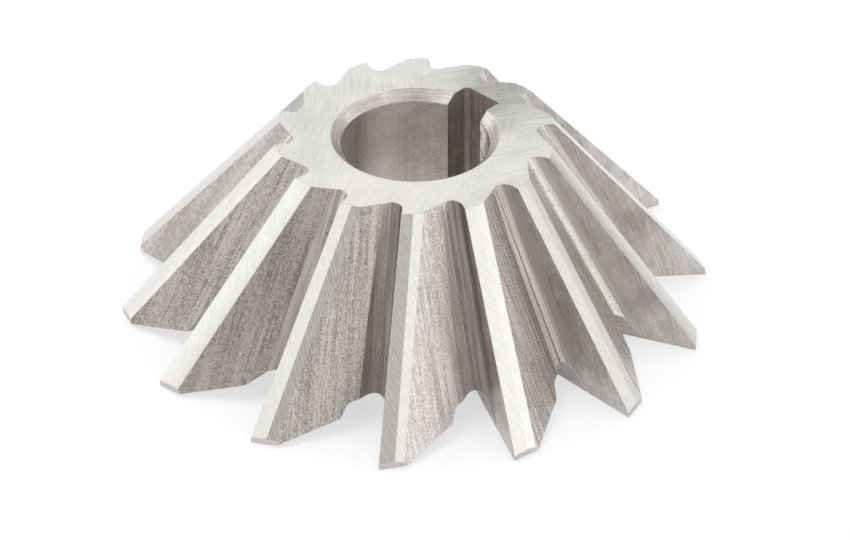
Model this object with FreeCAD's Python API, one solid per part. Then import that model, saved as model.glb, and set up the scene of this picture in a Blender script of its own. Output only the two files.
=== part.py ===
# Single angle milling cutter: one piece of hardened steel for an arbor, with fourteen teeth
# that cut on a 50 degree cone and on the large face.
#
# The origin is on the axis, in the plane of the side cutting edges on the large face.
# +Z runs along the bore towards the small end, and the keyway points along +Y.
# Millimetres and degrees. The cutter is cut from a turned blank, as the real one is.
import FreeCAD, Part
import math
import os

V = FreeCAD.Vector

# Blank and bore
OUTER_D = 40.0            # over the corners of the teeth
WIDTH = 13.0              # between the large face and the small face
CONE_ANGLE = 50.0         # between the conical cutting edges and the large face
CORNER_LAND = 0.4         # straight height of each tooth's outer corner, below the cone
GRIND_STOCK = 0.12        # left on the blank outside, and ground off with the lands
BORE_D = 10.0
BORE_CHAMFER = 0.65       # at the small face
BORE_CHAMFER_LOW = 0.5    # at the large face

# Keyway in the bore
KEY_W = 3.0
KEY_SPAN = 11.65          # from the keyway's floor to the bore's opposite wall
KEY_CORNER = 0.4          # round of the corner at the keyway's floor, on the -X side
KEY_CORNER_SHARP = 0.08   # round of the other corner, on the +X side

# Teeth and the flutes between them
TEETH = 14
KEY_TO_TOOTH = 11.0       # from the keyway's middle to the next tooth's corner
RAKE_ANGLE = 1.3          # of the cutting faces, positive
FLUTE_ANGLE = 70.0        # between a cutting face and the back of the tooth before it
FLUTE_DEPTH = 1.28        # at the small face, along the cutting face
FACE_PASS_STEEPER = 10.0  # angle by which the ground bottom of a flute is steeper than the cone
FACE_PASS_ROUND = 0.7     # between the cutting face and the flute's bottom
FACE_PASS_SIDE = 2.5      # radius of the ground bottom's other side
FACE_PASS_TURN = 75.0     # that side turns outwards this far from the bottom
BACK_PASS_STEEPER = 8.5   # angle by which the milled back of a tooth is steeper than the cone
PASS_STEP = 0.01          # the milled back starts this far outside the ground bottom

# Lands behind the conical cutting edges
LAND_W_SMALL = 0.79       # first land's width at the small face
LAND_W_LARGE = 1.04       # first land's width at the large face
LAND_RELIEF = 8.0
BACK_RELIEF = 17.0        # second land, up to the back of the tooth
CORNER_RELIEF = 15.0      # outer corner, behind its upright edge

# Side teeth on the large face
SIDE_LAND_W = 1.6
SIDE_RELIEF = 4.0
SIDE_LAND_OVERLAP = 0.5   # the land's cut runs on this far into the steeper cut behind it
SIDE_BACK_RELIEF = 20.6
GASH_LEAN = 7.4           # of a gash's wall, away from upright
GASH_TILT = 8.0           # a gash gets deeper outwards by this angle
GASH_ANGLE = 83.0         # between a gash's wall and its bottom
GASH_ROUND = 1.1          # radius between them
GASH_W = 2.4              # from the wall to the step on the far side
GASH_STEP_ROUND = 0.5
GASH_STEP_ANGLE = 60.0    # of the step, from the large face

# Hub on the large face, and the turned recess that the gashes run out into
HUB_D = 17.0
RECESS_D = 22.0
RECESS_DEPTH = 1.75
RECESS_ROUND = 0.5

# Worked out from the sizes above
OUTER_R = OUTER_D / 2
BORE_R = BORE_D / 2
PITCH = 360.0 / TEETH
SMALL_R = OUTER_R - (WIDTH - CORNER_LAND) / math.tan(math.radians(CONE_ANGLE))
RUN_OUT_R = HUB_D / 2 + RECESS_ROUND
OVER = 2.0                # by which cutting tools pass the metal
LAND_REACH = LAND_W_LARGE + OVER


def sin(angle):
    return math.sin(math.radians(angle))


def cos(angle):
    return math.cos(math.radians(angle))


def tan(angle):
    return math.tan(math.radians(angle))


# Directions in the frame of one tooth, whose outer corner lies on +X.
# OUT runs outwards in the cutting face, and BEHIND points from it into the tooth.
UP = V(0, 0, 1)
OUT = V(cos(RAKE_ANGLE), -sin(RAKE_ANGLE), 0)
BEHIND = V(sin(RAKE_ANGLE), cos(RAKE_ANGLE), 0)
CORNER = V(OUTER_R, 0, 0)


def on_cutting_face(radius, z):
    """The point of the cutting face at this distance from the axis."""
    turn = math.degrees(math.asin(OUTER_R * sin(RAKE_ANGLE) / radius)) - RAKE_ANGLE
    return V(radius * cos(turn), radius * sin(turn), z)


def slab(points, depth):
    """A flat face through the points, made thick along the vector depth."""
    return Part.Face(Part.makePolygon(points + [points[0]])).extrude(depth)


def turned(points):
    """A solid of revolution about the bore, from points (radius, z)."""
    ring = [V(radius, 0, z) for radius, z in points]
    return Part.Face(Part.makePolygon(ring + [ring[0]])).revolve(V(0, 0, 0), UP, 360)


def round_corner(before, corner, after, radius):
    """Both ends and the middle of the arc that rounds a corner."""
    first = (before - corner).normalize()
    second = (after - corner).normalize()
    half = first.getAngle(second) / 2
    reach = radius / math.tan(half)
    middle = (first + second).normalize()
    to_centre = radius / math.sin(half)
    return (corner + first * reach,
            corner + middle * (to_centre - radius),
            corner + second * reach)


def rounded_profile(points, radii):
    """A closed wire through the points, with the given radius at each (0 is sharp)."""
    edges = []
    ends = []
    count = len(points)
    for i, point in enumerate(points):
        if radii[i]:
            start, middle, end = round_corner(points[i - 1], point, points[(i + 1) % count], radii[i])
            edges.append((start, middle, end))
            ends.append((start, end))
        else:
            edges.append(None)
            ends.append((point, point))
    parts = []
    for i in range(count):
        if edges[i]:
            parts.append(Part.Arc(*edges[i]).toShape())
        parts.append(Part.LineSegment(ends[i][1], ends[(i + 1) % count][0]).toShape())
    return Part.Wire(parts)


def blank():
    """The turned blank: bore with both chamfers, faces, and outside with its grinding stock."""
    stock = GRIND_STOCK
    cone_shift = stock / sin(CONE_ANGLE)
    return turned([
        (BORE_R + BORE_CHAMFER_LOW, 0),
        (OUTER_R + stock, 0),
        (OUTER_R + stock, CORNER_LAND + (cone_shift - stock) * tan(CONE_ANGLE)),
        (SMALL_R + cone_shift, WIDTH),
        (BORE_R + BORE_CHAMFER, WIDTH),
        (BORE_R, WIDTH - BORE_CHAMFER),
        (BORE_R, BORE_CHAMFER_LOW),
    ])


def keyway():
    """The cutting tool for the keyway, through the whole bore."""
    floor = KEY_SPAN - BORE_R
    half = KEY_W / 2
    points = [V(half, 0, -OVER), V(half, floor, -OVER), V(-half, floor, -OVER), V(-half, 0, -OVER)]
    wire = rounded_profile(points, [0, KEY_CORNER_SHARP, KEY_CORNER, 0])
    return Part.Face(wire).extrude(UP * (WIDTH + 2 * OVER))


def recess():
    """The ring turned into the large face between the hub and the side teeth."""
    inner = HUB_D / 2
    outer = RECESS_D / 2
    points = [V(inner, 0, -OVER), V(inner, 0, RECESS_DEPTH), V(outer, 0, RECESS_DEPTH), V(outer, 0, -OVER)]
    wire = rounded_profile(points, [0, RECESS_ROUND, RECESS_ROUND, 0])
    return Part.Face(wire).revolve(V(0, 0, 0), UP, 360)


def pass_directions(steeper):
    """Directions of a flute cut: along it to the small end, and outwards from its bottom."""
    slope = CONE_ANGLE + steeper
    return OUT * -cos(slope) + UP * sin(slope), OUT * sin(slope) + UP * cos(slope)


def pass_length(steeper):
    """From the small face to well below the large face, along a flute cut."""
    return WIDTH / sin(CONE_ANGLE + steeper) + OUTER_R


def face_pass():
    """The grinding cut in front of one tooth: its cutting face and the flute's round bottom."""
    along, outwards = pass_directions(FACE_PASS_STEEPER)

    def around(centre, radius, turn):
        return centre - (BEHIND * sin(turn) + outwards * cos(turn)) * radius

    bottom = on_cutting_face(SMALL_R, WIDTH) - OUT * FLUTE_DEPTH - along * pass_length(FACE_PASS_STEEPER)
    first = bottom + (outwards - BEHIND) * FACE_PASS_ROUND
    meet = 90 - FLUTE_ANGLE
    joint = around(first, FACE_PASS_ROUND, meet)
    second = around(joint, -FACE_PASS_SIDE, meet)
    side = around(second, FACE_PASS_SIDE, FACE_PASS_TURN)
    wall = around(first, FACE_PASS_ROUND, -90)
    reach = outwards * OUTER_R
    wire = Part.Wire([
        Part.LineSegment(wall + reach, wall).toShape(),
        Part.Arc(wall, around(first, FACE_PASS_ROUND, (meet - 90) / 2), joint).toShape(),
        Part.Arc(joint, around(second, FACE_PASS_SIDE, (meet + FACE_PASS_TURN) / 2), side).toShape(),
        Part.LineSegment(side, side + reach).toShape(),
        Part.LineSegment(side + reach, wall + reach).toShape(),
    ])
    return Part.Face(wire).extrude(along * (pass_length(FACE_PASS_STEEPER) + OVER))


def back_pass():
    """The milling cut that leaves the back of the tooth before, down to the ground bottom."""
    along, outwards = pass_directions(BACK_PASS_STEEPER)
    front = FACE_PASS_ROUND * (1 + cos(FLUTE_ANGLE))
    rise = FACE_PASS_ROUND * (1 - sin(FLUTE_ANGLE)) / sin(CONE_ANGLE + FACE_PASS_STEEPER)
    root = on_cutting_face(SMALL_R, WIDTH) + OUT * (rise - FLUTE_DEPTH + PASS_STEP) - BEHIND * front
    start = root - along * pass_length(BACK_PASS_STEEPER)
    far = start + (outwards * cos(FLUTE_ANGLE) - BEHIND * sin(FLUTE_ANGLE)) * OUTER_R
    return slab([start, far, far + outwards * OUTER_R, start + outwards * OUTER_R],
                along * (pass_length(BACK_PASS_STEEPER) + OVER))


def land_tools():
    """The grinding cuts that leave both lands behind one conical cutting edge."""
    low = on_cutting_face(OUTER_R, CORNER_LAND)
    high = on_cutting_face(SMALL_R, WIDTH)
    edge = (high - low).normalize()
    outward = edge.cross(BEHIND).normalize()
    if outward.z < 0:
        outward = outward * -1
    first = BEHIND * cos(LAND_RELIEF) - outward * sin(LAND_RELIEF)
    second = BEHIND * cos(BACK_RELIEF) - outward * sin(BACK_RELIEF)
    tools = []
    for start, end, slope in ((low, high, first),
                              (low + first * LAND_W_LARGE, high + first * LAND_W_SMALL, second)):
        run = (end - start).normalize()
        begin = start - run * OVER
        finish = end + run * OVER
        tools.append(slab([begin - slope * LAND_W_SMALL, begin + slope * LAND_REACH,
                           finish + slope * LAND_REACH, finish - slope * LAND_W_SMALL], outward * OVER))
    return tools


def corner_tool():
    """The cut behind the upright edge at one tooth's outer corner."""
    slope = V(-sin(CORNER_RELIEF), cos(CORNER_RELIEF), 0)
    front = CORNER - slope * LAND_W_SMALL - UP * OVER
    back = CORNER + slope * LAND_REACH - UP * OVER
    outwards = V(OVER, 0, 0)
    return slab([front, back, back + outwards, front + outwards], UP * (OVER + CORNER_LAND + OVER))


def side_land_tool():
    """The cut that leaves the land behind one side cutting edge."""
    slope = BEHIND * cos(SIDE_RELIEF) + UP * sin(SIDE_RELIEF)
    inner = CORNER - OUT * (OUTER_R - RUN_OUT_R)
    outer = CORNER + OUT * OVER
    front = slope * -SIDE_LAND_W
    back = slope * (SIDE_LAND_W + SIDE_LAND_OVERLAP)
    return slab([inner + front, inner + back, outer + back, outer + front], UP * -OVER)


def next_tooth(point):
    """The same point seen from the tooth before: turned on by one pitch."""
    return FreeCAD.Rotation(UP, PITCH).multVec(point)


def side_back_tool():
    """The steeper cut on the large face, from the land to the gash at the next tooth."""
    land_end = (BEHIND * cos(SIDE_RELIEF) + UP * sin(SIDE_RELIEF)) * SIDE_LAND_W
    inner = CORNER - OUT * (OUTER_R - RUN_OUT_R) + land_end
    outer = CORNER + OUT * OVER + land_end
    gash_middle = BEHIND * (-GASH_W / 2)
    far_inner = next_tooth(CORNER - OUT * (OUTER_R - RECESS_D / 2) + gash_middle)
    far_outer = next_tooth(CORNER + OUT * OVER + gash_middle)
    for point in (far_inner, far_outer):
        behind = (point - CORNER).dot(BEHIND) - SIDE_LAND_W * cos(SIDE_RELIEF)
        point.z = land_end.z + behind * tan(SIDE_BACK_RELIEF)
    return slab([inner, outer, far_outer, far_inner], UP * -WIDTH)


def gash():
    """The cutting tool for the gash in the large face, in front of one side cutting edge."""
    wall_up = UP * cos(GASH_LEAN) - BEHIND * sin(GASH_LEAN)
    across = -BEHIND * cos(GASH_LEAN) - UP * sin(GASH_LEAN)
    along = OUT * cos(GASH_TILT) + wall_up * sin(GASH_TILT)
    deeper = wall_up * cos(GASH_TILT) - OUT * sin(GASH_TILT)
    run_out = CORNER - OUT * (OUTER_R - RECESS_D / 2)
    round_gap = GASH_ROUND / tan(GASH_ANGLE / 2) - GASH_ROUND
    apex = run_out + deeper * (RECESS_DEPTH + round_gap)
    slope = across * sin(GASH_ANGLE) - deeper * cos(GASH_ANGLE)
    step = apex + slope * (GASH_W / sin(GASH_ANGLE))
    down = (across * cos(GASH_STEP_ANGLE) - deeper * sin(GASH_STEP_ANGLE))
    depth = RECESS_DEPTH + OVER
    points = [apex, step, step + down * depth, apex - deeper * (depth + OVER)]
    back_off = along * (RECESS_D / 2 - RUN_OUT_R)
    wire = rounded_profile([point - back_off for point in points], [GASH_ROUND, GASH_STEP_ROUND, 0, 0])
    return Part.Face(wire).extrude(along * (OUTER_R - RUN_OUT_R + OVER))


def cutter():
    """The finished cutter."""
    tools = [keyway(), recess()]
    tooth_tools = [face_pass(), back_pass(), corner_tool(), side_land_tool(), side_back_tool(), gash()]
    tooth_tools += land_tools()
    for tooth in range(TEETH):
        angle = 90 + KEY_TO_TOOTH + tooth * PITCH
        for tool in tooth_tools:
            copy = tool.copy()
            copy.rotate(V(0, 0, 0), UP, angle)
            tools.append(copy)
    body = blank()
    for tool in tools:
        body = body.cut(tool)
    return body.removeSplitter()


os.makedirs("parts", exist_ok=True)
body = cutter()
solid = body.Solids[0]
print("solids", len(body.Solids), "valid", body.isValid(), "faces", len(body.Faces),
      "volume", round(body.Volume, 1), "small face radius", round(SMALL_R, 3))
solid.exportStep("parts/cutter_body.step")
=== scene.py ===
"""Looks of a single angle milling cutter: one steel piece, ground and milled, on a pale floor.

Lengths in the helpers are in millimetres and turned into metres where a mesh or a light is made.
The tooth frame is the frame of one tooth turned so that its outer corner lies on +X.
"""

import math

import bmesh
import bpy
import numpy as np
from mathutils import Matrix, Vector


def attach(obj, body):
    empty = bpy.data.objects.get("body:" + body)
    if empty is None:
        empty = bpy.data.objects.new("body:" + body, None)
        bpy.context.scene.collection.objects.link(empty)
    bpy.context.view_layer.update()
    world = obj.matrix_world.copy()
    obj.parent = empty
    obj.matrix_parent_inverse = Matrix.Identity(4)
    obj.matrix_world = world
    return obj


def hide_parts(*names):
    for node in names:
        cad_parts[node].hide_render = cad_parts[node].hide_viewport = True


MM = 0.001

# Sizes of the cutter that the surfaces are told apart by
TEETH = 14
KEY_TO_TOOTH = 11.0       # degrees from the keyway's middle to the next tooth
OUTER_R = 20.0
WIDTH = 13.0
BORE_R = 5.0
KEY_R = 6.9               # everything nearer to the axis is bore, chamfer or keyway
HUB_R = 8.5
RECESS_R = 11.0
CONE_ANGLE = 50.0
RAKE_ANGLE = 1.3
FACE_PASS_SLOPE = 60.0
BACK_PASS_SLOPE = 58.5
FLUTE_ANGLE = 70.0
LAND_RELIEF = 8.0
BACK_RELIEF = 17.0
CORNER_RELIEF = 15.0

# Camera fitted to the photograph
VIEW_AZIMUTH = 43.61      # the camera looks this way, from +Y towards -X
VIEW_ELEVATION = 35.272
VIEW_ROLL = 0.1523
VIEW_DISTANCE = 340.42
VIEW_SIDE = 0.6463        # sideways and upward step of the camera
VIEW_UP = 1.5382
FOCAL_PIXELS = 4985.5
IMAGE_WIDTH = 850
SENSOR = 36.0

WELD = 0.012              # points nearer than this become one
FLAT_WITHIN = 0.3         # edges that turn less than this, in degrees, are dissolved
EDGE_ROUND = 0.02         # width of the worn edges
EDGE_MIN_ANGLE = 24.0     # only edges that turn more than this are rounded
SMOOTH_WITHIN = 14.0      # edges that turn less than this are shaded smooth within a region
SMOOTH_BETWEEN = 6.0      # and less than this between two regions


def sin(angle):
    return math.sin(math.radians(angle))


def cos(angle):
    return math.cos(math.radians(angle))


def unit(vector):
    return vector / np.linalg.norm(vector)


# Directions in the tooth frame, named as in the cutter's own construction
UP = np.array([0, 0, 1.0])
OUT = np.array([cos(RAKE_ANGLE), -sin(RAKE_ANGLE), 0])
BEHIND = np.array([sin(RAKE_ANGLE), cos(RAKE_ANGLE), 0])
CORNER = np.array([OUTER_R, 0, 0])
FACE_ALONG = -OUT * cos(FACE_PASS_SLOPE) + UP * sin(FACE_PASS_SLOPE)
FACE_OUTWARDS = OUT * sin(FACE_PASS_SLOPE) + UP * cos(FACE_PASS_SLOPE)
BACK_ALONG = -OUT * cos(BACK_PASS_SLOPE) + UP * sin(BACK_PASS_SLOPE)
BACK_OUTWARDS = OUT * sin(BACK_PASS_SLOPE) + UP * cos(BACK_PASS_SLOPE)
EDGE_ALONG = -OUT * cos(CONE_ANGLE) + UP * sin(CONE_ANGLE)
EDGE_OUTWARDS = OUT * sin(CONE_ANGLE) + UP * cos(CONE_ANGLE)

NORMALS = {
    "cutting_face": -BEHIND,
    "tooth_back": BACK_OUTWARDS * sin(FLUTE_ANGLE) + BEHIND * cos(FLUTE_ANGLE),
    "first_land": EDGE_OUTWARDS * cos(LAND_RELIEF) + BEHIND * sin(LAND_RELIEF),
    "second_land": EDGE_OUTWARDS * cos(BACK_RELIEF) + BEHIND * sin(BACK_RELIEF),
    "corner_land": np.array([cos(CORNER_RELIEF), sin(CORNER_RELIEF), 0]),
}
# Where each of these lies in front of its tooth's cutting face, in millimetres
RANGES = {
    "cutting_face": (-0.05, 0.05),
    "tooth_back": (0.9, 9.0),
    "first_land": (-1.2, 0.1),
    "second_land": (-2.2, -0.6),
    "corner_land": (-2.2, 0.1),
}
REGIONS = ["small_face", "bore", "chamfer", "keyway", "hub", "recess", "cutting_face", "flute_bottom",
           "cutting_shaded", "cutting_cloudy", "flute_side", "flute_dark", "flute_bright", "flute_brighter",
           "back_plain", "back_grainy", "back_streaky", "back_bright", "back_lined", "back_grey",
           "first_land", "second_land", "plain_land", "shaded_land", "corner_land", "side_land", "side_teeth",
           "gash", "edge"]
ROUND_REGIONS = ("bore", "chamfer", "recess", "hub")      # their marks run round the axis

# Limits for telling surfaces apart: how well a normal agrees with a direction, and lengths
LEVEL = 0.999
TILTED = 0.9
SLOPED = 0.4
FACES_AXIS = 0.95
SAME_WAY = 0.9985
LENGTHWAYS = 0.02         # the flute's round and side run along the wheel's path this closely
NEAR = 0.05
CLOSE = 0.02
RAISED = 0.01             # a face this high above the large face isn't part of it
FLUTE_END = 4.0           # flutes end this far from the axis
FLUTE_REACH = 2.8         # how far in front of its tooth's cutting face a flute's round and side go
SIDE_REACH = 3.2          # and a gash
RECESS_FROM = 1.6         # height above the large face from which a face belongs to the recess
SIDE_LAND_DOWN = -0.993   # how far down a side land looks, and the back behind it
SIDE_BACK_DOWN = -0.85

# Across a flute, marks are counted from the cutting face down its round bottom and on up its side
FLUTE_SIDE_FROM = 0.94    # the side begins this far in front of the cutting face
FLUTE_SIDE_RATE = 1.23    # and is this much longer than its step forward
FLUTE_SIDE_START = 3.51   # the place where its count would begin, level with the cutting face

# Looks per tooth and the flute in front of it. Darker copies of one steel are painted shade, lighter ones and the
# strip flutes painted highlight; the backs also differ in their marks. Teeth are counted on from the keyway.
DARK_FLUTES = (2, 8, 9)   # the round bottom is a darker, rougher copy: painted shade
DARK_SIDES = (2, 8)
# These flutes carry a ground strip whose brightness is partly a painted highlight
STRIP_FLUTES = {3: "flute_bright", 10: "flute_bright", 11: "flute_brighter"}
LINED_LANDS = (("first_land", 0), ("second_land", 1), ("second_land", 7), ("first_land", 8), ("first_land", 9),
               ("first_land", 10))
# Lands and cutting faces of these teeth are darker copies of one steel: painted shade
SHADED_LANDS = (4, 11, 12)
SHADED_FACES = {0: "cutting_shaded", 10: "cutting_cloudy", 11: "cutting_shaded"}
BACKS = ("back_plain", "back_streaky", "back_grainy", "back_plain", "back_grey", "back_plain", "back_grainy",
         "back_grainy", "back_streaky", "back_bright", "back_lined", "back_lined", "back_plain", "back_streaky")

LAND_LAY = 32.0           # degrees from the edge to the grinding lines on a land
FACE_LAY = 70.0           # slope of the grinding lines on a cutting face


def turn_matrix(tooth):
    """Turns a point of the part into the frame of this tooth."""
    angle = math.radians(-(90 + KEY_TO_TOOTH + tooth * 360 / TEETH))
    c, s = math.cos(angle), math.sin(angle)
    return np.array([[c, -s, 0], [s, c, 0], [0, 0, 1.0]])


TURNS = [turn_matrix(tooth) for tooth in range(TEETH)]


def centre_place(point, normal, radius):
    """The region of a face on the small face, in the bore or on the hub."""
    if normal[2] > LEVEL and point[2] > WIDTH - NEAR:
        return "small_face", 0
    if radius < KEY_R and abs(normal[2]) < TILTED and point[2] > 0:
        if abs(normal[2]) > SLOPED:
            return "chamfer", 0
        inward = -(normal[0] * point[0] + normal[1] * point[1]) / radius
        if inward > FACES_AXIS and abs(radius - BORE_R) < 2 * NEAR:
            return "bore", 0
        return "keyway", 0
    if normal[2] < -LEVEL and radius < HUB_R + NEAR and point[2] < RAISED:
        return "hub", 0
    return None


def flute_look(tooth, side):
    """The region of a flute's round bottom or side."""
    if tooth in STRIP_FLUTES:
        return STRIP_FLUTES[tooth]
    if tooth in (DARK_SIDES if side else DARK_FLUTES):
        return "flute_dark"
    return "flute_side" if side else "flute_bottom"


def cone_place(point, normal):
    """The region and tooth of a face on the cone side of the teeth."""
    best = None
    for tooth, turn in enumerate(TURNS):
        local = turn @ point
        facing = turn @ normal
        front = -(local - CORNER) @ BEHIND
        if (local - CORNER) @ OUT < FLUTE_END - OUTER_R:
            continue
        for region, direction in NORMALS.items():
            low, high = RANGES[region]
            match = facing @ direction
            if low <= front <= high and match > SAME_WAY and (best is None or match > best[0]):
                best = (match, region, tooth)
        if (best is None and -NEAR <= front <= FLUTE_REACH and abs(facing @ FACE_ALONG) < LENGTHWAYS
                and facing @ FACE_OUTWARDS > -NEAR):
            best = (SAME_WAY, flute_look(tooth, front > FLUTE_SIDE_FROM), tooth)
    if best is None:
        return None
    region, tooth = best[1:]
    if region == "tooth_back":
        region = BACKS[tooth]
    elif region == "cutting_face":
        region = SHADED_FACES.get(tooth, region)
    elif region in ("first_land", "second_land") and (region, tooth) not in LINED_LANDS:
        region = "shaded_land" if tooth in SHADED_LANDS else "plain_land"
    return region, tooth


def large_face_place(point, normal, radius):
    """The region and tooth of a face on the large face."""
    owner = 0
    for tooth, turn in enumerate(TURNS):
        local = turn @ point
        front = -(local - CORNER) @ BEHIND
        if local[0] > 0 and -CLOSE <= front <= SIDE_REACH:
            owner = tooth
            if normal[2] > -TILTED:
                return ("recess" if radius < RECESS_R + CLOSE and point[2] > RECESS_FROM else "gash"), tooth
    if radius < RECESS_R + CLOSE and point[2] > RAISED:
        return "recess", 0
    if normal[2] < SIDE_LAND_DOWN:
        return "side_land", owner
    return ("side_teeth" if normal[2] < SIDE_BACK_DOWN else "gash"), owner


def place_of(point, normal):
    """The region and the tooth that a face belongs to, from its middle and normal."""
    radius = math.hypot(point[0], point[1])
    return (centre_place(point, normal, radius) or cone_place(point, normal)
            or large_face_place(point, normal, radius))


def lay_directions(region):
    """Directions across and along the tool marks of a region, in the tooth frame."""
    if region.startswith("cutting"):
        return OUT * sin(FACE_LAY) + UP * cos(FACE_LAY), -OUT * cos(FACE_LAY) + UP * sin(FACE_LAY)
    if region.startswith("flute"):
        return -BEHIND, FACE_ALONG
    if region.startswith("back"):
        return unit(BACK_OUTWARDS * cos(FLUTE_ANGLE) - BEHIND * sin(FLUTE_ANGLE)), BACK_ALONG
    if region in ("first_land", "second_land", "plain_land", "shaded_land"):
        lay = -EDGE_ALONG * cos(LAND_LAY) + BEHIND * sin(LAND_LAY)
        return EDGE_ALONG * sin(LAND_LAY) + BEHIND * cos(LAND_LAY), lay
    if region == "corner_land":
        return UP, BEHIND
    if region.startswith("side"):
        return BEHIND, OUT
    if region == "gash":
        return -BEHIND - UP, OUT
    return UP, OUT


LAYS = {region: lay_directions(region) for region in REGIONS}
TOOTH_STEP = 37.0         # moves each tooth's marks to another part of the pattern
REGION_STEP = 11.0


def grain_place(region, tooth, point):
    """Across and along the tool marks, in millimetres, for a point on a region."""
    if region in ROUND_REGIONS:
        radius = math.hypot(point[0], point[1])
        turn = math.atan2(point[1], point[0])
        if turn < math.pi / 2:
            turn += 2 * math.pi
        return (point[2] + radius, turn * BORE_R)
    if region == "keyway":
        return (point[0] + point[1], point[2])
    if region == "small_face":
        return (point[0], point[1])
    across, along = LAYS[region]
    local = TURNS[tooth] @ point - CORNER
    shift = tooth * TOOTH_STEP + REGIONS.index(region) * REGION_STEP
    if region.startswith("flute"):
        front = local @ across
        if front > FLUTE_SIDE_FROM:
            return (front * FLUTE_SIDE_RATE + FLUTE_SIDE_START, local @ along + shift)
        return (front - local @ FACE_OUTWARDS, local @ along + shift)
    return (local @ across + shift, local @ along + shift)


def build_body(cad):
    """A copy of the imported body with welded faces, worn edges, regions and marks."""
    work = bmesh.new()
    work.from_mesh(cad.data)
    bmesh.ops.remove_doubles(work, verts=work.verts, dist=WELD * MM)
    bmesh.ops.dissolve_limit(work, angle_limit=math.radians(FLAT_WITHIN), verts=work.verts, edges=work.edges)
    work.faces.ensure_lookup_table()
    owner = work.faces.layers.int.new("tooth")
    for face in work.faces:
        point = np.array(face.calc_center_median()) / MM
        region, tooth = place_of(point, np.array(face.normal))
        face.material_index = REGIONS.index(region)
        face[owner] = tooth
    rims = [e for e in work.edges if len(e.link_faces) == 2
            and e.calc_face_angle() > math.radians(EDGE_MIN_ANGLE)
            and (e.link_faces[0].material_index != e.link_faces[1].material_index
                 or e.link_faces[0][owner] != e.link_faces[1][owner])]
    bmesh.ops.bevel(work, geom=rims, offset=EDGE_ROUND * MM, offset_type="OFFSET", segments=2, profile=0.5,
                    affect="EDGES", clamp_overlap=False, material=REGIONS.index("edge"))
    for edge in work.edges:
        if len(edge.link_faces) == 2:
            same = edge.link_faces[0].material_index == edge.link_faces[1].material_index
            limit = SMOOTH_WITHIN if same else SMOOTH_BETWEEN
            edge.smooth = edge.calc_face_angle(0) < math.radians(limit)
    marks = work.loops.layers.uv.new("grain")
    for face in work.faces:
        face.smooth = True
        region = REGIONS[face.material_index]
        for loop in face.loops:
            loop[marks].uv = grain_place(region, face[owner], np.array(loop.vert.co) / MM)
        if region in ROUND_REGIONS:
            close_seam(face, marks)
    mesh = bpy.data.meshes.new("cutter")
    work.to_mesh(mesh)
    work.free()
    piece = bpy.data.objects.new("cutter", mesh)
    bpy.context.scene.collection.objects.link(piece)
    weights = piece.modifiers.new("normals", "WEIGHTED_NORMAL")
    weights.weight = 100
    weights.keep_sharp = True
    return piece


def close_seam(face, marks):
    """Keeps a face that crosses the keyway's middle from running back round the axis."""
    turn = 2 * math.pi * BORE_R
    highest = max(loop[marks].uv[1] for loop in face.loops)
    for loop in face.loops:
        if highest - loop[marks].uv[1] > turn / 2:
            loop[marks].uv[1] += turn


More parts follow.
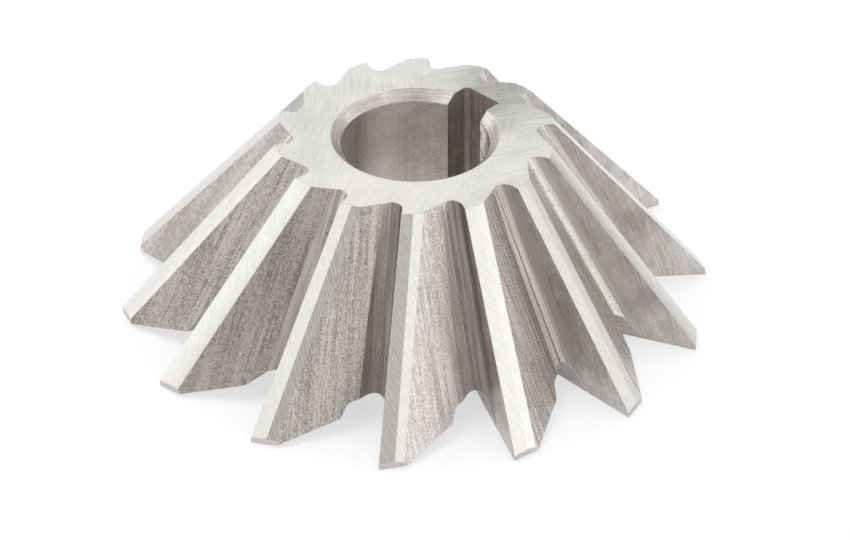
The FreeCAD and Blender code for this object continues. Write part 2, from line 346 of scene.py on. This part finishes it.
class Nodes:
    """Short calls for building the nodes of one material or world."""

    def __init__(self, tree):
        self.tree = tree
        tree.nodes.clear()

    def add(self, kind, **settings):
        node = self.tree.nodes.new(kind)
        for name, value in settings.items():
            setattr(node, name, value)
        return node

    def feed(self, node, **values):
        """Links or sets inputs by name, with _ for a space."""
        for name, value in values.items():
            socket = node.inputs[name.replace("_", " ")]
            if isinstance(value, bpy.types.NodeSocket):
                self.tree.links.new(value, socket)
            else:
                socket.default_value = value
        return node

    def math(self, operation, first, second=None):
        node = self.add("ShaderNodeMath", operation=operation)
        for socket, value in zip(node.inputs, (first, second)):
            if isinstance(value, bpy.types.NodeSocket):
                self.tree.links.new(value, socket)
            elif value is not None:
                socket.default_value = value
        return node.outputs[0]

    def span(self, value, low, high, new_low=0.0, new_high=1.0, smooth=False):
        node = self.add("ShaderNodeMapRange", interpolation_type="SMOOTHSTEP" if smooth else "LINEAR")
        self.feed(node, Value=value, From_Min=low, From_Max=high, To_Min=new_low, To_Max=new_high)
        return node.outputs[0]

    def mix(self, factor, first, second):
        """Mixes two colours."""
        node = self.add("ShaderNodeMix", data_type="RGBA")
        for index, value in ((0, factor), (6, first), (7, second)):
            if isinstance(value, bpy.types.NodeSocket):
                self.tree.links.new(value, node.inputs[index])
            else:
                node.inputs[index].default_value = value
        return node.outputs[2]

    def marks(self):
        """Across and along the tool marks, from the mesh."""
        node = self.add("ShaderNodeUVMap", uv_map="grain")
        split = self.add("ShaderNodeSeparateXYZ")
        self.tree.links.new(node.outputs[0], split.inputs[0])
        return split.outputs[0], split.outputs[1]

    def place(self, x, y, z=0.0):
        node = self.add("ShaderNodeCombineXYZ")
        for socket, value in zip(node.inputs, (x, y, z)):
            if isinstance(value, bpy.types.NodeSocket):
                self.tree.links.new(value, socket)
            else:
                socket.default_value = value
        return node.outputs[0]

    def noise(self, vector, scale=1.0, detail=2.0, roughness=0.5, distortion=0.0):
        node = self.add("ShaderNodeTexNoise")
        self.feed(node, Vector=vector, Scale=scale, Detail=detail, Roughness=roughness, Distortion=distortion)
        return node.outputs[0]

    def streaks(self, across, along, per_mm, stretch, seed, detail=3.0, roughness=0.55):
        """Noise with this many marks a millimetre across, each drawn out along the marks this many times."""
        vector = self.place(self.math("MULTIPLY", across, per_mm),
                            self.math("MULTIPLY", along, per_mm / stretch), seed)
        return self.noise(vector, 1.0, detail, roughness)

    def sum(self, *pairs):
        """Adds values, each times its weight."""
        total = None
        for value, weight in pairs:
            part = self.math("MULTIPLY", value, weight)
            total = part if total is None else self.math("ADD", total, part)
        return total

    def reach(self, across, along, x, y):
        """Distance from a place on a flat face."""
        dx = self.math("SUBTRACT", across, x)
        dy = self.math("SUBTRACT", along, y)
        squares = self.math("ADD", self.math("MULTIPLY", dx, dx), self.math("MULTIPLY", dy, dy))
        return self.math("SQRT", squares)

    def hatch(self, across, along, spacing, seed):
        """Nearly even lines, this far apart in millimetres, that wander a little."""
        slow = self.place(self.math("MULTIPLY", across, 1.1), self.math("MULTIPLY", along, 0.35), seed)
        wander = self.noise(slow, 1.0, 2.0, 0.5)
        phase = self.sum((across, 2 * math.pi / spacing), (wander, 14.0))
        wave = self.math("SINE", phase)
        return self.span(wave, -1.0, 1.0)

    def bump(self, height, depth, normal=None):
        node = self.add("ShaderNodeBump")
        self.feed(node, Height=height, Strength=1.0, Distance=depth * MM)
        if normal is not None:
            self.feed(node, Normal=normal)
        return node.outputs[0]


def finish_steel(nodes, colour, roughness, normal, anisotropic=0.0):
    """Closes a material as bare metal."""
    shader = nodes.add("ShaderNodeBsdfPrincipled")
    nodes.feed(shader, Base_Color=colour, Metallic=1.0, Roughness=roughness, Normal=normal,
               Anisotropic=anisotropic)
    output = nodes.add("ShaderNodeOutputMaterial")
    nodes.tree.links.new(shader.outputs[0], output.inputs[0])


def new_material(name):
    material = bpy.data.materials.new(name)
    material.use_nodes = True
    return material, Nodes(material.node_tree)


def milled_back(name, dark, light, band, streak, mottle, grit, drawn, flecks):
    """Rough milled backs of the teeth: thin streaks along the flute over a fine grain.

    band, streak, mottle and grit weigh the wide streaks, the thin ones, the blotches and the grain.
    drawn is the grain's rate along the marks, and flecks the strength of its bright specks.
    """
    material, n = new_material(name)
    across, along = n.marks()
    wide = n.streaks(across, along, 0.6, 7, 11.3, 1.0)
    coarse = n.streaks(across, along, 4.6, 60, 1.3, 1.0)
    fine = n.streaks(across, along, 9.0, 50, 4.1, 1.0)
    grain = n.noise(n.place(across, n.math("MULTIPLY", along, drawn), 7.7), 14.5, 1.0, 0.6)
    mottled = n.noise(n.place(across, n.math("MULTIPLY", along, drawn), 6.2), 4.0, 2.0, 0.6)
    specks = n.span(n.noise(n.place(across, along, 3.9), 13.0, 0.0), 0.66, 0.74)
    patch = n.span(n.noise(n.place(across, along, 2.2), 0.35, 1.0, 0.5), 0.38, 0.62, 0.5, 1.0)
    streaked = n.math("MULTIPLY", n.math("SUBTRACT", n.sum((coarse, 0.35), (fine, 0.65)), 0.5), patch)
    shade = n.sum((wide, band), (streaked, streak), (mottled, mottle), (grain, grit))
    middle = (band + mottle + grit) / 2
    colour = n.mix(n.span(shade, middle - 0.17, middle + 0.17), (*dark, 1), (*light, 1))
    colour = n.mix(n.math("MULTIPLY", specks, flecks), colour, (0.98, 0.96, 0.94, 1))
    height = n.sum((coarse, 0.25 * streak), (fine, 0.5 * streak), (grain, 0.8 * grit))
    finish_steel(n, colour, n.span(grain, 0.35, 0.65, 0.48, 0.36), n.bump(height, 0.017))
    return material


def ground_land(name, dark, light, line_dark, line_share, line_depth):
    """Ground lands: bright, with fine slanting lines that come and go.

    line_share is how far the lines reach their own colour, and line_depth how deep they are.
    """
    material, n = new_material(name)
    across, along = n.marks()
    even = n.hatch(across, along, 0.20, 0.7)
    loose = n.span(n.streaks(across, along, 4.6, 14, 2.3, 2.0, 0.7), 0.36, 0.64)
    lines = n.sum((even, 0.40), (loose, 0.60))
    cloud = n.noise(n.place(across, along, 9.4), 1.6, 3.0, 0.65)
    fine = n.streaks(across, along, 9.0, 25, 5.2)
    grain = n.noise(n.place(across, along, 4.4), 9.0, 2.0, 0.6)
    shade = n.sum((fine, 0.35), (cloud, 0.40), (grain, 0.25))
    colour = n.mix(n.span(shade, 0.42, 0.58), (*dark, 1), (*light, 1))
    cut = n.math("MULTIPLY", n.span(lines, 0.35, 0.90), n.span(cloud, 0.40, 0.60, 0.45, 1.0))
    colour = n.mix(n.math("MULTIPLY", cut, line_share), colour, (*line_dark, 1))
    height = n.sum((cut, -1.0), (fine, 0.3), (grain, 0.15))
    finish_steel(n, colour, 0.22, n.bump(height, line_depth), 0.2)
    return material


def flute_ground(name, dark, light, roughness):
    """Round flute bottoms: long fine streaks over a pitted grain."""
    material, n = new_material(name)
    across, along = n.marks()
    band = n.streaks(across, along, 2.2, 60, 2.9, 1.0)
    fine = n.streaks(across, along, 8.0, 30, 8.3, 2.0)
    grain = n.noise(n.place(across, along, 1.7), 10.0, 2.0, 0.7)
    pits = n.span(n.noise(n.place(across, along, 5.1), 8.0, 1.0, 0.6), 0.64, 0.72)
    shade = n.sum((band, 0.4), (fine, 0.6), (grain, 0.25))
    colour = n.mix(n.span(shade, 0.49, 0.76), (*dark, 1), (*light, 1))
    colour = n.mix(n.math("MULTIPLY", pits, 0.6), colour, (0.25, 0.21, 0.195, 1))
    height = n.sum((fine, 0.8), (grain, 0.6), (pits, -0.8))
    finish_steel(n, colour, roughness, n.bump(height, 0.014), 0.2)
    return material


STRIP_LEAN = 0.36         # how steeply a bright strip turns from the flute's round bottom


def flute_strip(name, highlight_from, dim, light, pitted, roughness):
    """A flute bottom with a bright strip beside the crease, ground steel with a painted highlight, and a darker
    rest up to the cutting face.

    highlight_from is the strip's place across the flute, and roughness the strip's own.
    """
    material, n = new_material(name)
    across, along = n.marks()
    fine = n.streaks(across, along, 10.0, 60, 8.3, 1.0)
    grain = n.noise(n.place(across, along, 1.7), 12.0, 1.0, 0.6)
    wander = n.noise(n.place(across, along, 4.6), 0.8, 2.0, 0.5)
    pits = n.span(n.noise(n.place(across, along, 5.1), 7.0, 1.0, 0.6), 0.62, 0.70)
    # strip masks the ground strip beside the crease, where a highlight is painted into the colour
    edge = n.sum((across, 1.0), (wander, 0.18), (fine, 0.20))
    strip = n.span(edge, highlight_from + 0.09, highlight_from + 0.31, 0.0, 1.0, True)
    near_face = n.span(across, 3.1, 3.7, 1.0, 0.0)
    shade = n.span(n.sum((fine, 0.6), (grain, 0.4)), 0.38, 0.62)
    dull = n.mix(shade, (0.35, 0.315, 0.295, 1), (0.54, 0.50, 0.475, 1))
    dull = n.mix(near_face, dull, (0.58, 0.545, 0.52, 1))
    # bright is the strip's colour: real ground steel with a painted highlight
    bright = n.mix(shade, (*dim, 1), (*light, 1))
    bright = n.mix(n.math("MULTIPLY", pits, pitted), bright, (0.33, 0.285, 0.27, 1))
    colour = n.mix(strip, dull, bright)
    past = n.math("MAXIMUM", n.math("SUBTRACT", across, highlight_from + 0.05), 0.0)
    leaning = n.bump(n.math("MULTIPLY", past, -STRIP_LEAN), 1.0)
    height = n.sum((fine, 0.6), (grain, 0.6), (pits, -0.6))
    finish_steel(n, colour, n.span(strip, 0.0, 1.0, 0.40, roughness), n.bump(height, 0.008, leaning), 0.2)
    return material


# Olive, mauve, and what both turn to where they shine
FACE_COLOURS = ((0.49, 0.46, 0.43), (0.66, 0.605, 0.585), (0.84, 0.795, 0.77))


def cutting_face(name, bright, contrast=1.0):
    """Ground cutting faces: olive grey turning to mauve in clouds, with faint slanting lines."""
    material, n = new_material(name)
    across, along = n.marks()
    lines = n.hatch(across, along, 0.19, 2.7)
    patch = n.span(n.noise(n.place(across, along, 3.1), 0.5, 2.0, 0.5), 0.45, 0.60, 0.0, 1.0, True)
    fine = n.streaks(across, along, 7.0, 18, 3.9)
    cloud = n.noise(n.place(across, along, 6.4), 0.5, 4.0, 0.65)
    grain = n.noise(n.place(across, along, 9.7), 8.0, 2.0, 0.6)
    olive, mauve, shine = ((*(part * bright for part in colour), 1) for colour in FACE_COLOURS)
    tint = n.mix(n.span(cloud, 0.5 - 0.10 / contrast, 0.5 + 0.10 / contrast), olive, mauve)
    shade = n.sum((fine, 0.6), (grain, 0.4))
    shared = n.span(shade, 0.51 - 0.09 / contrast, 0.51 + 0.09 / contrast, 0.0, 0.65)
    colour = n.mix(shared, tint, shine)
    cut = n.math("MULTIPLY", lines, patch)
    colour = n.mix(n.math("MULTIPLY", cut, 0.45), colour, (0.36, 0.33, 0.31, 1))
    height = n.sum((fine, 0.6), (grain, 0.6), (cut, -0.8))
    finish_steel(n, colour, 0.40, n.bump(height, 0.009 * contrast), 0.2)
    return material


# On the small face: the middles of the wheel's two sets of arcs, and of a patch of painted shade and a patch of
# painted highlight
ARC_CENTRES = ((-31.0, -22.0), (36.0, -12.0))
SHADE_PATCH = (0.6, 7.6)
HIGHLIGHT_PATCH = (3.0, -6.5)


def small_face():
    """The ground small face: fine crossing arcs left by the wheel, over soft clouds, with a patch of painted shade
    and one of painted highlight.
    """
    material, n = new_material("small_face")
    across, along = n.marks()
    arcs = []
    for seed, (x, y) in enumerate(ARC_CENTRES):
        reach = n.reach(across, along, x, y)
        angle = n.math("ARCTAN2", n.math("SUBTRACT", along, y), n.math("SUBTRACT", across, x))
        arcs.append(n.noise(n.place(n.math("MULTIPLY", reach, 7.5), n.math("MULTIPLY", angle, 11.0), seed * 5.3),
                            1.0, 2.0, 0.6))
    patch = n.noise(n.place(across, along, 8.8), 0.30, 1.0, 0.5)
    chosen = n.span(n.sum((patch, 1.0), (across, 0.025), (along, 0.024)), 0.48, 0.68, 0.1, 0.9, True)
    both = n.add("ShaderNodeMix", data_type="FLOAT")
    for index, value in ((0, chosen), (2, arcs[0]), (3, arcs[1])):
        n.tree.links.new(value, both.inputs[index])
    cloud = n.noise(n.place(across, along, 1.1), 0.45, 3.0, 0.55)
    grain = n.noise(n.place(across, along, 6.1), 10.0, 2.0, 0.65)
    shade = n.sum((both.outputs[0], 0.34), (cloud, 0.22), (grain, 0.44))
    ground = n.span(shade, 0.43, 0.55)
    colour = n.mix(ground, (0.77, 0.76, 0.745, 1), (0.965, 0.95, 0.935, 1))
    wander = n.math("MULTIPLY", cloud, 2.0)
    # A darker patch of painted shade and a lighter patch of painted highlight, with wandering rims
    shade_mask = n.span(n.math("ADD", n.reach(across, along, *SHADE_PATCH), wander), 2.0, 7.5, 1.0, 0.0, True)
    highlight_mask = n.span(n.math("ADD", n.reach(across, along, *HIGHLIGHT_PATCH), wander), 3.0, 8.5, 1.0, 0.0, True)
    # dull and shine are the colours of the painted shade and the painted highlight
    dull = n.mix(ground, (0.38, 0.365, 0.355, 1), (0.60, 0.59, 0.58, 1))
    shine = n.mix(ground, (0.88, 0.86, 0.84, 1), (1.0, 0.985, 0.97, 1))
    colour = n.mix(n.math("MULTIPLY", shade_mask, 0.9), colour, dull)
    colour = n.mix(n.math("MULTIPLY", highlight_mask, 0.85), colour, shine)
    height = n.sum((both.outputs[0], 0.5), (grain, 0.5))
    finish_steel(n, colour, 0.34, n.bump(height, 0.011))
    return material


def cut_steel(name, dark, light, roughness, depth, per_mm, stretch, grit=0.4):
    """Slotted, turned or ground surfaces: per_mm fine marks along the lay over some grit."""
    material, n = new_material(name)
    across, along = n.marks()
    rings = n.streaks(across, along, per_mm, stretch, 2.6)
    grain = n.noise(n.place(across, along, 5.5), 6.0, 3.0, 0.65)
    cloud = n.noise(n.place(across, along, 1.9), 0.6, 2.0, 0.5)
    shade = n.sum((rings, 0.8 - grit), (grain, grit), (cloud, 0.2))
    finish_steel(n, n.mix(n.span(shade, 0.37, 0.63), (*dark, 1), (*light, 1)), roughness, n.bump(shade, depth))
    return material


# Places in the bore, measured round it from +X at its radius, and up it with the radius added
BORE_TOP = 17.3
# A paler band round part of the bore: painted light
PALE_FROM, PALE_TO = 12.3, 16.2
TORN_FROM = 36.4          # torn beside the keyway from here on
TORN_LEAN = 0.7           # how steeply the torn metal turns upwards


def bored():
    """The bore: fine skew scratches over soft clouds, a band of painted light, a torn patch whose bright facets
    are a painted highlight, and a ragged bright rim under the chamfer.
    """
    material, n = new_material("bored")
    across, along = n.marks()
    skew = n.math("ADD", across, n.math("MULTIPLY", along, 0.45))
    scratch = n.streaks(skew, along, 7.0, 14, 2.6, 2.0)
    drawn = n.streaks(along, across, 3.5, 30, 6.6, 2.0)
    cloud = n.noise(n.place(across, along, 1.9), 0.35, 2.0, 0.5)
    grain = n.noise(n.place(across, along, 5.5), 9.0, 2.0, 0.6)
    shade = n.sum((scratch, 0.20), (drawn, 0.16), (cloud, 0.34), (grain, 0.30))
    colour = n.mix(n.span(shade, 0.42, 0.58), (0.61, 0.57, 0.54, 1), (0.86, 0.825, 0.795, 1))
    # pale masks the band of painted light
    pale = n.math("MULTIPLY", n.span(along, PALE_FROM, PALE_FROM + 2.2, 0.0, 1.0, True),
                  n.span(along, PALE_TO - 1.4, PALE_TO, 1.0, 0.0, True))
    painted_light_steel = n.mix(n.span(shade, 0.42, 0.58), (0.84, 0.80, 0.78, 1), (1.0, 0.97, 0.95, 1))
    colour = n.mix(pale, colour, painted_light_steel)
    # Torn metal beside the keyway; its bright facets are a painted highlight
    torn = n.noise(n.place(across, along, 7.9), 1.5, 3.0, 0.65, 0.8)
    place = n.math("ADD", along, n.math("MULTIPLY", cloud, 0.8))
    beside = n.span(place, TORN_FROM, TORN_FROM + 1.0)
    rough = n.mix(n.span(torn, 0.40, 0.50), (0.40, 0.34, 0.31, 1), (1.0, 0.97, 0.95, 1))
    colour = n.mix(beside, colour, rough)
    ragged = n.noise(n.place(n.math("MULTIPLY", along, 1.1), 0.0, 3.3), 1.0, 3.0, 0.6)
    rim = n.span(n.sum((across, 1.0), (ragged, 0.55)), BORE_TOP + 0.24, BORE_TOP + 0.32)
    colour = n.mix(n.math("MULTIPLY", rim, 0.8), colour, (1.0, 0.97, 0.955, 1))
    leaning = n.bump(n.sum((n.math("MULTIPLY", n.math("SUBTRACT", across, BORE_TOP), beside), -TORN_LEAN)), 1.0)
    height = n.sum((shade, 1.0), (rim, 4.0), (n.math("MULTIPLY", beside, torn), 5.0))
    finish_steel(n, colour, n.span(beside, 0.0, 1.0, 0.45, 0.6), n.bump(height, 0.009, leaning))
    return material


def chamfered():
    """The bore's chamfer: torn along its turning, with bright smears and dull granular patches."""
    material, n = new_material("chamfered")
    across, along = n.marks()
    torn = n.streaks(across, along, 5.0, 9, 2.6, 3.0, 0.65)
    grain = n.noise(n.place(across, along, 5.5), 8.0, 2.0, 0.7)
    cloud = n.noise(n.place(across, along, 1.9), 0.45, 2.0, 0.5)
    smear = n.span(cloud, 0.45, 0.62)
    shade = n.sum((torn, 0.55), (grain, 0.45))
    dull = n.mix(n.span(shade, 0.38, 0.62), (0.54, 0.49, 0.475, 1), (0.84, 0.79, 0.77, 1))
    bright = n.mix(n.span(shade, 0.36, 0.56), (0.62, 0.58, 0.565, 1), (1.0, 0.985, 0.975, 1))
    finish_steel(n, n.mix(smear, dull, bright), 0.42, n.bump(shade, 0.028))
    return material


def worn_edge():
    """The narrow rounded edges, brighter than the faces beside them."""
    material, n = new_material("worn_edge")
    place = n.add("ShaderNodeTexCoord").outputs["Object"]
    spots = n.noise(place, 2500.0, 2.0, 0.6)
    finish_steel(n, n.mix(n.span(spots, 0.35, 0.65), (0.60, 0.58, 0.56, 1), (0.88, 0.86, 0.84, 1)), 0.35,
                 n.bump(spots, 0.003))
    return material


def looks_of_regions():
    """The steel of every region."""
    return {
        "small_face": small_face(),
        "bore": bored(),
        "chamfer": chamfered(),
        "keyway": cut_steel("slotted", (0.35, 0.31, 0.295), (0.76, 0.70, 0.68), roughness=0.60, depth=0.012,
                             per_mm=4.0, stretch=20),
        "hub": cut_steel("hub_ground", (0.74, 0.72, 0.705), (0.86, 0.84, 0.83), roughness=0.32, depth=0.005,
                          per_mm=6.0, stretch=25),
        "recess": cut_steel("turned", (0.48, 0.45, 0.43), (0.64, 0.61, 0.59), roughness=0.38, depth=0.010,
                             per_mm=4.0, stretch=25),
        "cutting_face": cutting_face("cutting_face", 1.0),
        # Darker copies of the cutting face, painted shade; the cloudy one also has stronger clouds
        "cutting_shaded": cutting_face("cutting_shaded", 0.86),
        "cutting_cloudy": cutting_face("cutting_cloudy", 0.87, contrast=2.0),
        "flute_bottom": flute_ground("flute_ground", (0.46, 0.42, 0.40), (0.82, 0.775, 0.75), 0.34),
        "flute_side": flute_ground("flute_side", (0.66, 0.62, 0.60), (1.0, 0.97, 0.95), 0.48),
        # A darker copy of the flute ground: painted shade
        "flute_dark": flute_ground("flute_shaded", (0.33, 0.295, 0.28), (0.62, 0.575, 0.555), 0.40),
        # Flutes whose strip carries a painted highlight
        "flute_bright": flute_strip("flute_bright", 4.18, (0.66, 0.62, 0.60), (1.0, 0.97, 0.95), pitted=0.3,
                                    roughness=0.8),
        "flute_brighter": flute_strip("flute_brighter", 3.78, (0.80, 0.76, 0.735), (1.0, 0.985, 0.97), pitted=0.75,
                                      roughness=0.55),
        "back_plain": milled_back("back_plain", (0.46, 0.42, 0.405), (0.69, 0.645, 0.625), band=0.8, streak=0.5,
                                  mottle=1.1, grit=0.6, drawn=0.8, flecks=0.2),
        "back_grey": milled_back("back_grey", (0.38, 0.375, 0.365), (0.60, 0.595, 0.585), band=0.2, streak=0.5,
                                 mottle=0.4, grit=0.8, drawn=0.8, flecks=0.1),
        "back_grainy": milled_back("back_grainy", (0.34, 0.305, 0.29), (0.80, 0.745, 0.72), band=0.5, streak=1.1,
                                   mottle=0.5, grit=0.9, drawn=0.75, flecks=0.9),
        "back_streaky": milled_back("back_streaky", (0.37, 0.33, 0.312), (0.75, 0.69, 0.665), band=0.35,
                                    streak=1.3, mottle=0.2, grit=0.9, drawn=0.45, flecks=0.5),
        # A lighter copy of the streaky back, with a little less grain: painted highlight
        "back_bright": milled_back("back_bright", (0.50, 0.455, 0.435), (0.87, 0.81, 0.785), band=0.35,
                                   streak=1.3, mottle=0.2, grit=0.8, drawn=0.45, flecks=0.3),
        "back_lined": milled_back("back_lined", (0.36, 0.32, 0.305), (0.90, 0.835, 0.805), band=0.2, streak=1.6,
                                  mottle=0.2, grit=0.70, drawn=0.5, flecks=0.7),
        "first_land": ground_land("first_land", (0.88, 0.86, 0.845), (0.96, 0.945, 0.93), (0.60, 0.57, 0.55),
                                  line_share=0.34, line_depth=0.0030),
        "second_land": ground_land("second_land", (0.86, 0.835, 0.82), (0.95, 0.935, 0.92), (0.46, 0.42, 0.40),
                                   line_share=0.50, line_depth=0.0045),
        "plain_land": ground_land("plain_land", (0.88, 0.865, 0.85), (0.985, 0.97, 0.96), (0.82, 0.80, 0.785),
                                  line_share=0.25, line_depth=0.0008),
        # A darker copy of the ground land with fainter lines: painted shade
        "shaded_land": ground_land("shaded_land", (0.68, 0.66, 0.65), (0.75, 0.73, 0.72), (0.64, 0.615, 0.605),
                                 line_share=0.15, line_depth=0.0004),
        "corner_land": cut_steel("corner_ground", (0.50, 0.475, 0.46), (0.70, 0.67, 0.655), roughness=0.35,
                                  depth=0.006, per_mm=6.0, stretch=25),
        "side_land": cut_steel("side_land_ground", (0.74, 0.72, 0.705), (0.88, 0.86, 0.85), roughness=0.30,
                                depth=0.004, per_mm=7.0, stretch=25),
        "side_teeth": cut_steel("side_ground", (0.60, 0.575, 0.56), (0.76, 0.735, 0.72), roughness=0.35,
                                 depth=0.006, per_mm=6.0, stretch=25),
        "gash": cut_steel("gash_ground", (0.28, 0.25, 0.235), (0.64, 0.60, 0.575), roughness=0.40, depth=0.020,
                           per_mm=5.0, stretch=12, grit=0.6),
        "edge": worn_edge(),
    }


def dress(piece):
    """Gives every region its own steel."""
    looks = looks_of_regions()
    for region in REGIONS:
        piece.data.materials.append(looks[region])


def fitted_frame():
    """Directions right and towards the back of the picture, on the floor."""
    angle = math.radians(VIEW_AZIMUTH)
    right = Vector((math.cos(angle), math.sin(angle), 0))
    away = Vector((-math.sin(angle), math.cos(angle), 0))
    return right, away


def add_camera():
    right, away = fitted_frame()
    forward = away * cos(VIEW_ELEVATION) - Vector((0, 0, sin(VIEW_ELEVATION)))
    up = right.cross(forward)
    place = (-forward * VIEW_DISTANCE + right * VIEW_SIDE + up * VIEW_UP) * MM
    level_x = right * cos(VIEW_ROLL) - up * sin(VIEW_ROLL)
    level_y = right * sin(VIEW_ROLL) + up * cos(VIEW_ROLL)
    turn = Matrix((level_x, level_y, -forward)).transposed().to_4x4()
    data = bpy.data.cameras.new("camera")
    data.sensor_width = SENSOR
    data.lens = FOCAL_PIXELS / IMAGE_WIDTH * SENSOR
    data.clip_start = 0.01
    camera = bpy.data.objects.new("camera", data)
    camera.matrix_world = Matrix.Translation(place) @ turn
    bpy.context.scene.collection.objects.link(camera)
    bpy.context.scene.camera = camera


def towards(azimuth, elevation):
    """A direction by its azimuth from the picture's right, towards the back, and its elevation."""
    right, away = fitted_frame()
    level = right * cos(azimuth) + away * sin(azimuth)
    return level * cos(elevation) + Vector((0, 0, sin(elevation)))


WORLD_BASE = 0.80
# Soft boxes and darker gaps of the studio: azimuth, elevation, inner and outer half width in degrees, strength
SOFT_BOXES = (
    (-150, 8, 5, 34, -0.45),
    (-108, 14, 6, 26, -0.45),
    (-72, 14, 5, 30, -0.13),
    (-28, 10, 8, 32, 0.41),
    (10, 3, 5, 32, 0.11),
    (42, 0, 8, 30, -0.32),
    (120, 0, 5, 38, 0.06),
    (160, 4, 5, 34, 0.07),
    (-150, 38, 14, 30, 0.18),
    (-100, 41, 14, 23, -0.36),
    (-56, 40, 12, 28, 0.16),
    (170, 30, 12, 32, 0.19),
    (80, 32, 20, 60, 0.05),
    (0, 90, 15, 50, 0.05),
)


DIM_TINT = (1.0, 0.95, 0.93, 1)       # the light's colour where it is weak, and where it is full
BRIGHT_TINT = (1.0, 0.995, 0.985, 1)


def add_world():
    """A pale studio: white to the camera, soft boxes left, right and above for the light."""
    world = bpy.data.worlds.new("studio")
    bpy.context.scene.world = world
    world.use_nodes = True
    n = Nodes(world.node_tree)
    direction = n.add("ShaderNodeTexCoord").outputs["Generated"]
    total = None
    for azimuth, elevation, inner, outer, strength in SOFT_BOXES:
        dot = n.add("ShaderNodeVectorMath", operation="DOT_PRODUCT")
        n.tree.links.new(direction, dot.inputs[0])
        dot.inputs[1].default_value = towards(azimuth, elevation)
        lobe = n.span(dot.outputs["Value"], cos(outer), cos(inner), 0.0, strength, True)
        total = lobe if total is None else n.math("ADD", total, lobe)
    light = n.math("ADD", total, WORLD_BASE)
    rays = n.add("ShaderNodeLightPath")
    tint = n.mix(n.span(light, 0.45, 0.9), DIM_TINT, BRIGHT_TINT)
    studio = n.add("ShaderNodeBackground")
    n.feed(studio, Color=tint, Strength=light)
    white = n.add("ShaderNodeBackground")
    n.feed(white, Color=(1, 1, 1, 1), Strength=1.0)
    either = n.add("ShaderNodeMixShader")
    n.tree.links.new(rays.outputs["Is Camera Ray"], either.inputs[0])
    n.tree.links.new(studio.outputs[0], either.inputs[1])
    n.tree.links.new(white.outputs[0], either.inputs[2])
    output = n.add("ShaderNodeOutputWorld")
    n.tree.links.new(either.outputs[0], output.inputs[0])


FLOOR_SIZE = 4.0
CAMERA_WHITE = 0.60       # how much of the backdrop's white the floor shows to the camera
GLOSSY_WHITE = 0.50       # and to the metal


def add_floor():
    """A white floor that keeps the cutter's soft shadow."""
    bpy.ops.mesh.primitive_plane_add(size=FLOOR_SIZE, location=(0, 0, 0))
    floor = bpy.context.object
    floor.name = "floor"
    material, n = new_material("floor_white")
    shader = n.add("ShaderNodeBsdfPrincipled")
    n.feed(shader, Base_Color=(0.96, 0.96, 0.96, 1), Roughness=0.9)
    shader.inputs["Specular IOR Level"].default_value = 0.0
    white = n.add("ShaderNodeEmission")
    n.feed(white, Color=(1, 1, 1, 1), Strength=1.0)
    rays = n.add("ShaderNodeLightPath")
    share = n.sum((rays.outputs["Is Camera Ray"], CAMERA_WHITE), (rays.outputs["Is Glossy Ray"], GLOSSY_WHITE))
    either = n.add("ShaderNodeMixShader")
    n.tree.links.new(share, either.inputs[0])
    n.tree.links.new(shader.outputs[0], either.inputs[1])
    n.tree.links.new(white.outputs[0], either.inputs[2])
    output = n.add("ShaderNodeOutputMaterial")
    n.tree.links.new(either.outputs[0], output.inputs[0])
    floor.data.materials.append(material)


def add_lamp(name, azimuth, elevation, distance, size, power):
    """A soft lamp that lights the cutter without showing in it."""
    data = bpy.data.lights.new(name, "AREA")
    data.size = size
    data.energy = power
    lamp = bpy.data.objects.new(name, data)
    direction = towards(azimuth, elevation)
    lamp.location = direction * distance
    lamp.rotation_euler = direction.to_track_quat("Z", "Y").to_euler()
    lamp.visible_camera = False
    lamp.visible_glossy = False
    bpy.context.scene.collection.objects.link(lamp)


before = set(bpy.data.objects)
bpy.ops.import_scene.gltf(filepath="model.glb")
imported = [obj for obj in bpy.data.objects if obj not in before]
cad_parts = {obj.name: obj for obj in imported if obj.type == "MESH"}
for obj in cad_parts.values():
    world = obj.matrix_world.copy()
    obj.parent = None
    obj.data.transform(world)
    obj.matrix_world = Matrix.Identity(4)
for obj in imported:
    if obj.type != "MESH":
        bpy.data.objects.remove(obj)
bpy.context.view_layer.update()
cutter = build_body(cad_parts["cutter_body"])
dress(cutter)
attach(cutter, "root")
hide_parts("cutter_body")
add_camera()
add_world()
add_floor()
add_lamp("top_lamp", azimuth=120, elevation=70, distance=0.6, size=0.5, power=1.4)
bpy.context.scene.view_settings.view_transform = "Standard"
